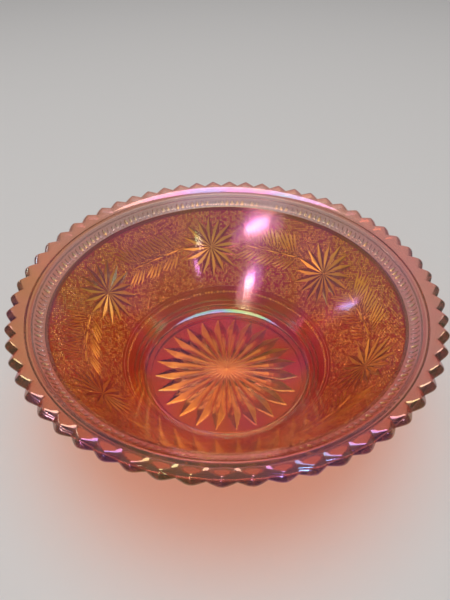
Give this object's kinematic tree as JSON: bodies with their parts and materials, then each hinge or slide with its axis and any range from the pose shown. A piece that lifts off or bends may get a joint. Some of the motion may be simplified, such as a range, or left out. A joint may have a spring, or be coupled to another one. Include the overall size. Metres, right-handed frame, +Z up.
{
  "type": "pressed glass bowl",
  "caption": "Round flared bowl of amber lustre glass with a saw-tooth rim, star and leaf pattern outside and a rayed star under its flat base.",
  "frame": {"origin": "centre of the plane that the foot ring stands on", "axes": "+Z up along the bowl's axis, out of its mouth; +X level, with a tooth tip 0.8 degrees clockwise of it seen from above; +Y level, a quarter turn anticlockwise from +X"},
  "size_m": [0.2214, 0.2214, 0.0737],
  "materials": {
    "lustre_glass": "glossy, amber to rose with an iridescent film",
    "rim_glass": "glossy, pale salmon with an iridescent film"
  },
  "bodies": {
    "root": {"foot_ring": "lustre_glass", "base_disc": "lustre_glass", "heel_band": "lustre_glass", "lower_bead_row": "lustre_glass", "pattern_wall": "lustre_glass", "star_medallions": "lustre_glass", "leaf_sprays": "lustre_glass", "shoulder_band": "rim_glass", "upper_bead_row": "rim_glass", "rim_band": "rim_glass", "rim_teeth": "rim_glass"}
  },
  "joints": []
}
